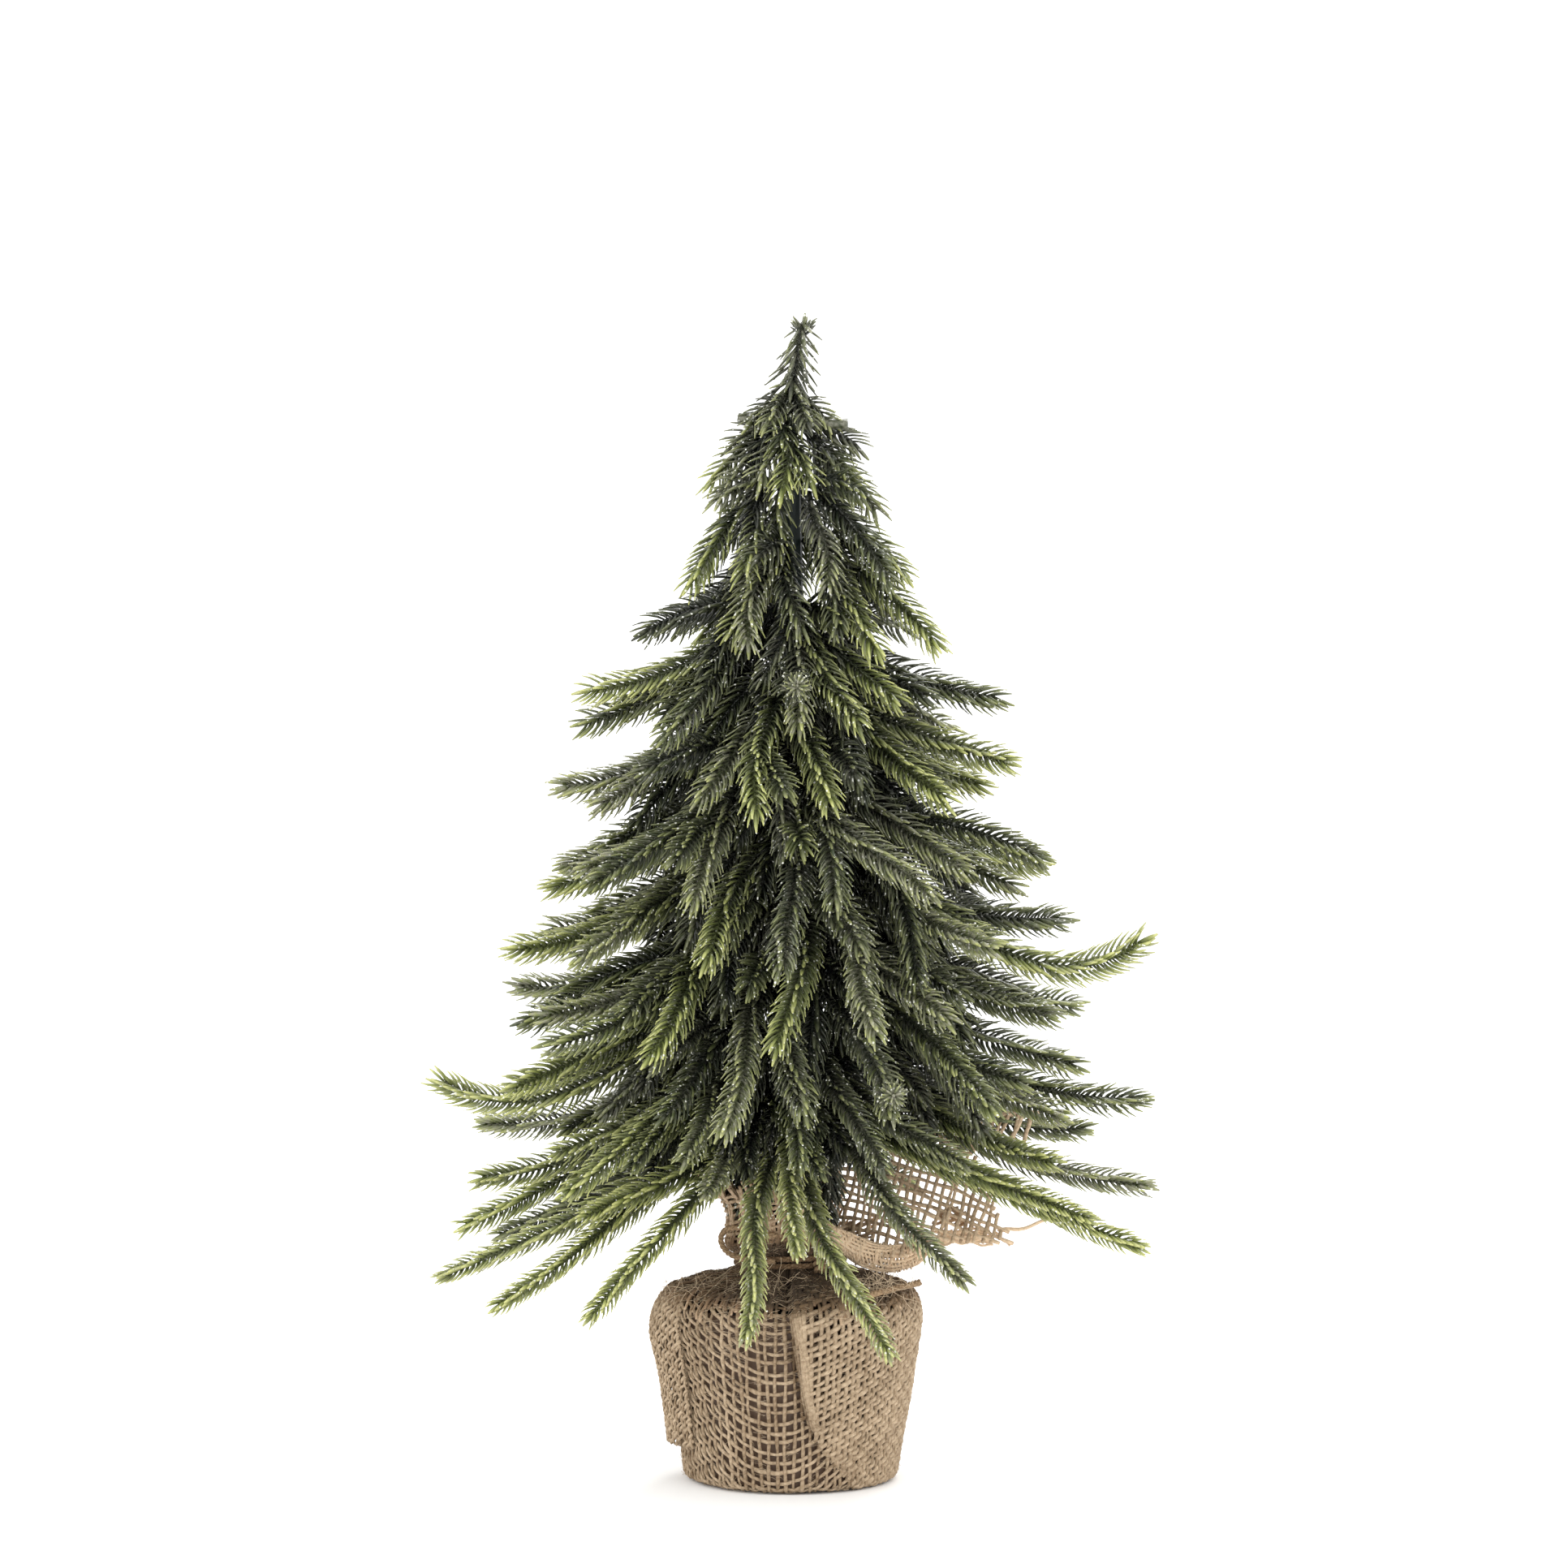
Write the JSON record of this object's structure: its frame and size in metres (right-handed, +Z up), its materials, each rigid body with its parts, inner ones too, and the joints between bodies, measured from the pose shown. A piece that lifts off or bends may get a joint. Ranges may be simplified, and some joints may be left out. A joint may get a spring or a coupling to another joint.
{
  "type": "artificial tabletop tree",
  "caption": "Small artificial spruce with bendable needled branches on a taped rod, in a weighted pot wrapped in burlap that twine ties at the neck.",
  "frame": {"origin": "middle of the flat face that the wrapped pot stands on", "axes": "+Z up along the trunk, +X to the right of the front, -Y towards the front"},
  "size_m": [0.2749, 0.2124, 0.45],
  "materials": {
    "burlap": "matte",
    "jute_twine": "matte",
    "pot_plastic": "matte",
    "cement": "matte",
    "rod_steel": "satin",
    "tape": "matte",
    "needles": "satin"
  },
  "bodies": {
    "stand": {"pot_shell": "pot_plastic", "ballast": "cement", "trunk_rod": "rod_steel", "trunk_tape": "tape", "burlap_wrap": "burlap", "twine_turns": "jute_twine", "twine_knot": "jute_twine", "twine_tail": "jute_twine"},
    "branch_01_1": {"branch_01_1": "needles"},
    "branch_01_2": {"branch_01_2": "needles"},
    "branch_01_3": {"branch_01_3": "needles"},
    "branch_01_4": {"branch_01_4": "needles"},
    "branch_01_5": {"branch_01_5": "needles"},
    "branch_01_6": {"branch_01_6": "needles"},
    "branch_02_1": {"branch_02_1": "needles"},
    "branch_02_2": {"branch_02_2": "needles"},
    "branch_02_3": {"branch_02_3": "needles"},
    "branch_02_4": {"branch_02_4": "needles"},
    "branch_02_5": {"branch_02_5": "needles"},
    "branch_03_1": {"branch_03_1": "needles"},
    "branch_03_2": {"branch_03_2": "needles"},
    "branch_03_3": {"branch_03_3": "needles"},
    "branch_03_4": {"branch_03_4": "needles"},
    "branch_03_5": {"branch_03_5": "needles"},
    "branch_04_1": {"branch_04_1": "needles"},
    "branch_04_2": {"branch_04_2": "needles"},
    "branch_04_3": {"branch_04_3": "needles"},
    "branch_04_4": {"branch_04_4": "needles"},
    "branch_04_5": {"branch_04_5": "needles"},
    "branch_05_1": {"branch_05_1": "needles"},
    "branch_05_2": {"branch_05_2": "needles"},
    "branch_05_3": {"branch_05_3": "needles"},
    "branch_05_4": {"branch_05_4": "needles"},
    "branch_05_5": {"branch_05_5": "needles"},
    "branch_06_1": {"branch_06_1": "needles"},
    "branch_06_2": {"branch_06_2": "needles"},
    "branch_06_3": {"branch_06_3": "needles"},
    "branch_06_4": {"branch_06_4": "needles"},
    "branch_06_5": {"branch_06_5": "needles"},
    "branch_07_1": {"branch_07_1": "needles"},
    "branch_07_2": {"branch_07_2": "needles"},
    "branch_07_3": {"branch_07_3": "needles"},
    "branch_07_4": {"branch_07_4": "needles"},
    "branch_08_1": {"branch_08_1": "needles"},
    "branch_08_2": {"branch_08_2": "needles"},
    "branch_08_3": {"branch_08_3": "needles"},
    "branch_08_4": {"branch_08_4": "needles"},
    "branch_09_1": {"branch_09_1": "needles"},
    "branch_09_2": {"branch_09_2": "needles"},
    "branch_09_3": {"branch_09_3": "needles"},
    "branch_10_1": {"branch_10_1": "needles"},
    "branch_10_2": {"branch_10_2": "needles"},
    "branch_10_3": {"branch_10_3": "needles"},
    "branch_11_1": {"branch_11_1": "needles"},
    "branch_11_2": {"branch_11_2": "needles"},
    "branch_11_3": {"branch_11_3": "needles"},
    "leader_sprig": {"leader_sprig": "needles"}
  },
  "joints": [
    {"name": "bend_01_1", "type": "hinge", "parent": "stand", "child": "branch_01_1", "pos_m": [-0.00802, -0.002, 0.15], "axis": [-0.2419, 0.9703, 0], "range_deg": [-8, 8]},
    {"name": "bend_01_2", "type": "hinge", "parent": "stand", "child": "branch_01_2", "pos_m": [-0.00542, -0.00624, 0.15], "axis": [-0.7547, 0.6561, 0], "range_deg": [-8, 8]},
    {"name": "bend_01_3", "type": "hinge", "parent": "stand", "child": "branch_01_3", "pos_m": [-0.00014, -0.00827, 0.15], "axis": [-0.9998, 0.0175, 0], "range_deg": [-8, 8]},
    {"name": "bend_01_4", "type": "hinge", "parent": "stand", "child": "branch_01_4", "pos_m": [0.00716, -0.00413, 0.15], "axis": [-0.5, -0.866, 0], "range_deg": [-8, 8]},
    {"name": "bend_01_5", "type": "hinge", "parent": "stand", "child": "branch_01_5", "pos_m": [0.00144, 0.00814, 0.15], "axis": [0.9848, -0.1736, 0], "range_deg": [-8, 8]},
    {"name": "bend_01_6", "type": "hinge", "parent": "stand", "child": "branch_01_6", "pos_m": [-0.00553, 0.00614, 0.15], "axis": [0.7431, 0.6691, 0], "range_deg": [-8, 8]},
    {"name": "bend_02_1", "type": "hinge", "parent": "stand", "child": "branch_02_1", "pos_m": [0.008, -0.00127, 0.177], "axis": [-0.1564, -0.9877, 0], "range_deg": [-8, 8]},
    {"name": "bend_02_2", "type": "hinge", "parent": "stand", "child": "branch_02_2", "pos_m": [0.00303, -0.00751, 0.177], "axis": [-0.9272, -0.3746, 0], "range_deg": [-8, 8]},
    {"name": "bend_02_3", "type": "hinge", "parent": "stand", "child": "branch_02_3", "pos_m": [-0.00602, -0.00542, 0.177], "axis": [-0.6691, 0.7431, 0], "range_deg": [-8, 8]},
    {"name": "bend_02_4", "type": "hinge", "parent": "stand", "child": "branch_02_4", "pos_m": [-0.00805, 0.00085, 0.177], "axis": [0.1045, 0.9945, 0], "range_deg": [-8, 8]},
    {"name": "bend_02_5", "type": "hinge", "parent": "stand", "child": "branch_02_5", "pos_m": [0.00453, 0.00671, 0.177], "axis": [0.829, -0.5592, 0], "range_deg": [-8, 8]},
    {"name": "bend_03_1", "type": "hinge", "parent": "stand", "child": "branch_03_1", "pos_m": [0.00787, 0.00027, 0.204], "axis": [0.0349, -0.9994, 0], "range_deg": [-8, 8]},
    {"name": "bend_03_2", "type": "hinge", "parent": "stand", "child": "branch_03_2", "pos_m": [0.00527, -0.00585, 0.204], "axis": [-0.7431, -0.6691, 0], "range_deg": [-8, 8]},
    {"name": "bend_03_3", "type": "hinge", "parent": "stand", "child": "branch_03_3", "pos_m": [-0.00217, -0.00757, 0.204], "axis": [-0.9613, 0.2756, 0], "range_deg": [-8, 8]},
    {"name": "bend_03_4", "type": "hinge", "parent": "stand", "child": "branch_03_4", "pos_m": [-0.00782, -0.00096, 0.204], "axis": [-0.1219, 0.9925, 0], "range_deg": [-8, 8]},
    {"name": "bend_03_5", "type": "hinge", "parent": "stand", "child": "branch_03_5", "pos_m": [-0.00485, 0.00621, 0.204], "axis": [0.788, 0.6157, 0], "range_deg": [-8, 8]},
    {"name": "bend_04_1", "type": "hinge", "parent": "stand", "child": "branch_04_1", "pos_m": [0.00693, 0.00252, 0.231], "axis": [0.342, -0.9397, 0], "range_deg": [-8, 8]},
    {"name": "bend_04_2", "type": "hinge", "parent": "stand", "child": "branch_04_2", "pos_m": [0.0024, -0.00698, 0.231], "axis": [-0.9455, -0.3256, 0], "range_deg": [-8, 7]},
    {"name": "bend_04_3", "type": "hinge", "parent": "stand", "child": "branch_04_3", "pos_m": [-0.00612, -0.00413, 0.231], "axis": [-0.5592, 0.829, 0], "range_deg": [-8, 8]},
    {"name": "bend_04_4", "type": "hinge", "parent": "stand", "child": "branch_04_4", "pos_m": [-0.00716, 0.00178, 0.231], "axis": [0.2419, 0.9703, 0], "range_deg": [-8, 8]},
    {"name": "bend_04_5", "type": "hinge", "parent": "stand", "child": "branch_04_5", "pos_m": [-0.00026, 0.00737, 0.231], "axis": [0.9994, 0.0349, 0], "range_deg": [-8, 8]},
    {"name": "bend_05_1", "type": "hinge", "parent": "stand", "child": "branch_05_1", "pos_m": [0.0065, -0.00224, 0.258], "axis": [-0.3256, -0.9455, 0], "range_deg": [-8, 8]},
    {"name": "bend_05_2", "type": "hinge", "parent": "stand", "child": "branch_05_2", "pos_m": [-0.00024, -0.00688, 0.258], "axis": [-0.9994, 0.0349, 0], "range_deg": [-8, 8]},
    {"name": "bend_05_3", "type": "hinge", "parent": "stand", "child": "branch_05_3", "pos_m": [-0.00667, -0.00166, 0.258], "axis": [-0.2419, 0.9703, 0], "range_deg": [-8, 8]},
    {"name": "bend_05_4", "type": "hinge", "parent": "stand", "child": "branch_05_4", "pos_m": [-0.00424, 0.00542, 0.258], "axis": [0.788, 0.6157, 0], "range_deg": [-8, 8]},
    {"name": "bend_05_5", "type": "hinge", "parent": "stand", "child": "branch_05_5", "pos_m": [0.00424, 0.00542, 0.258], "axis": [0.788, -0.6157, 0], "range_deg": [-8, 8]},
    {"name": "bend_06_1", "type": "hinge", "parent": "stand", "child": "branch_06_1", "pos_m": [0.00619, 0.00154, 0.285], "axis": [0.2419, -0.9703, 0], "range_deg": [-8, 8]},
    {"name": "bend_06_2", "type": "hinge", "parent": "stand", "child": "branch_06_2", "pos_m": [0.00357, -0.00529, 0.285], "axis": [-0.829, -0.5592, 0], "range_deg": [-8, 8]},
    {"name": "bend_06_3", "type": "hinge", "parent": "stand", "child": "branch_06_3", "pos_m": [-0.00489, -0.0041, 0.285], "axis": [-0.6428, 0.766, 0], "range_deg": [-8, 8]},
    {"name": "bend_06_4", "type": "hinge", "parent": "stand", "child": "branch_06_4", "pos_m": [-0.00592, 0.00239, 0.285], "axis": [0.3746, 0.9272, 0], "range_deg": [-8, 8]},
    {"name": "bend_06_5", "type": "hinge", "parent": "stand", "child": "branch_06_5", "pos_m": [0.00067, 0.00635, 0.285], "axis": [0.9945, -0.1045, 0], "range_deg": [-8, 8]},
    {"name": "bend_07_1", "type": "hinge", "parent": "stand", "child": "branch_07_1", "pos_m": [0.00565, -0.00162, 0.312], "axis": [-0.2756, -0.9613, 0], "range_deg": [-8, 8]},
    {"name": "bend_07_2", "type": "hinge", "parent": "stand", "child": "branch_07_2", "pos_m": [-0.00102, -0.00579, 0.312], "axis": [-0.9848, 0.1736, 0], "range_deg": [-8, 8]},
    {"name": "bend_07_3", "type": "hinge", "parent": "stand", "child": "branch_07_3", "pos_m": [-0.00587, 0.00041, 0.312], "axis": [0.0698, 0.9976, 0], "range_deg": [-8, 8]},
    {"name": "bend_07_4", "type": "hinge", "parent": "stand", "child": "branch_07_4", "pos_m": [0.00182, 0.00559, 0.312], "axis": [0.9511, -0.309, 0], "range_deg": [-8, 8]},
    {"name": "bend_08_1", "type": "hinge", "parent": "stand", "child": "branch_08_1", "pos_m": [0.00464, 0.00268, 0.338], "axis": [0.5, -0.866, 0], "range_deg": [-8, 8]},
    {"name": "bend_08_2", "type": "hinge", "parent": "stand", "child": "branch_08_2", "pos_m": [0.00251, -0.00473, 0.338], "axis": [-0.8829, -0.4695, 0], "range_deg": [-8, 8]},
    {"name": "bend_08_3", "type": "hinge", "parent": "stand", "child": "branch_08_3", "pos_m": [-0.00509, -0.00165, 0.338], "axis": [-0.309, 0.9511, 0], "range_deg": [-8, 8]},
    {"name": "bend_08_4", "type": "hinge", "parent": "stand", "child": "branch_08_4", "pos_m": [-0.00268, 0.00464, 0.338], "axis": [0.866, 0.5, 0], "range_deg": [-8, 8]},
    {"name": "bend_09_1", "type": "hinge", "parent": "stand", "child": "branch_09_1", "pos_m": [0.00451, -0.00147, 0.363], "axis": [-0.309, -0.9511, 0], "range_deg": [-8, 8]},
    {"name": "bend_09_2", "type": "hinge", "parent": "stand", "child": "branch_09_2", "pos_m": [-0.00178, -0.0044, 0.363], "axis": [-0.9272, 0.3746, 0], "range_deg": [-8, 8]},
    {"name": "bend_09_3", "type": "hinge", "parent": "stand", "child": "branch_09_3", "pos_m": [-0.0033, 0.00341, 0.363], "axis": [0.7193, 0.6947, 0], "range_deg": [-8, 7]},
    {"name": "bend_10_1", "type": "hinge", "parent": "stand", "child": "branch_10_1", "pos_m": [0.00337, -0.00245, 0.387], "axis": [-0.5878, -0.809, 0], "range_deg": [-8, 8]},
    {"name": "bend_10_2", "type": "hinge", "parent": "stand", "child": "branch_10_2", "pos_m": [-0.0038, -0.00169, 0.387], "axis": [-0.4067, 0.9135, 0], "range_deg": [-8, 8]},
    {"name": "bend_10_3", "type": "hinge", "parent": "stand", "child": "branch_10_3", "pos_m": [0.00029, 0.00415, 0.387], "axis": [0.9976, -0.0698, 0], "range_deg": [-7, 8]},
    {"name": "bend_11_1", "type": "hinge", "parent": "stand", "child": "branch_11_1", "pos_m": [0.00328, 0.0007, 0.408], "axis": [0.2079, -0.9781, 0], "range_deg": [-8, 8]},
    {"name": "bend_11_2", "type": "hinge", "parent": "stand", "child": "branch_11_2", "pos_m": [-0.00047, -0.00332, 0.408], "axis": [-0.9903, 0.1392, 0], "range_deg": [-8, 8]},
    {"name": "bend_11_3", "type": "hinge", "parent": "stand", "child": "branch_11_3", "pos_m": [-0.00322, 0.00092, 0.408], "axis": [0.2756, 0.9613, 0], "range_deg": [-8, 8]},
    {"name": "leader_bend", "type": "hinge", "parent": "stand", "child": "leader_sprig", "pos_m": [0, 0, 0.41235], "axis": [0, 1, 0], "range_deg": [-10, 10]}
  ]
}
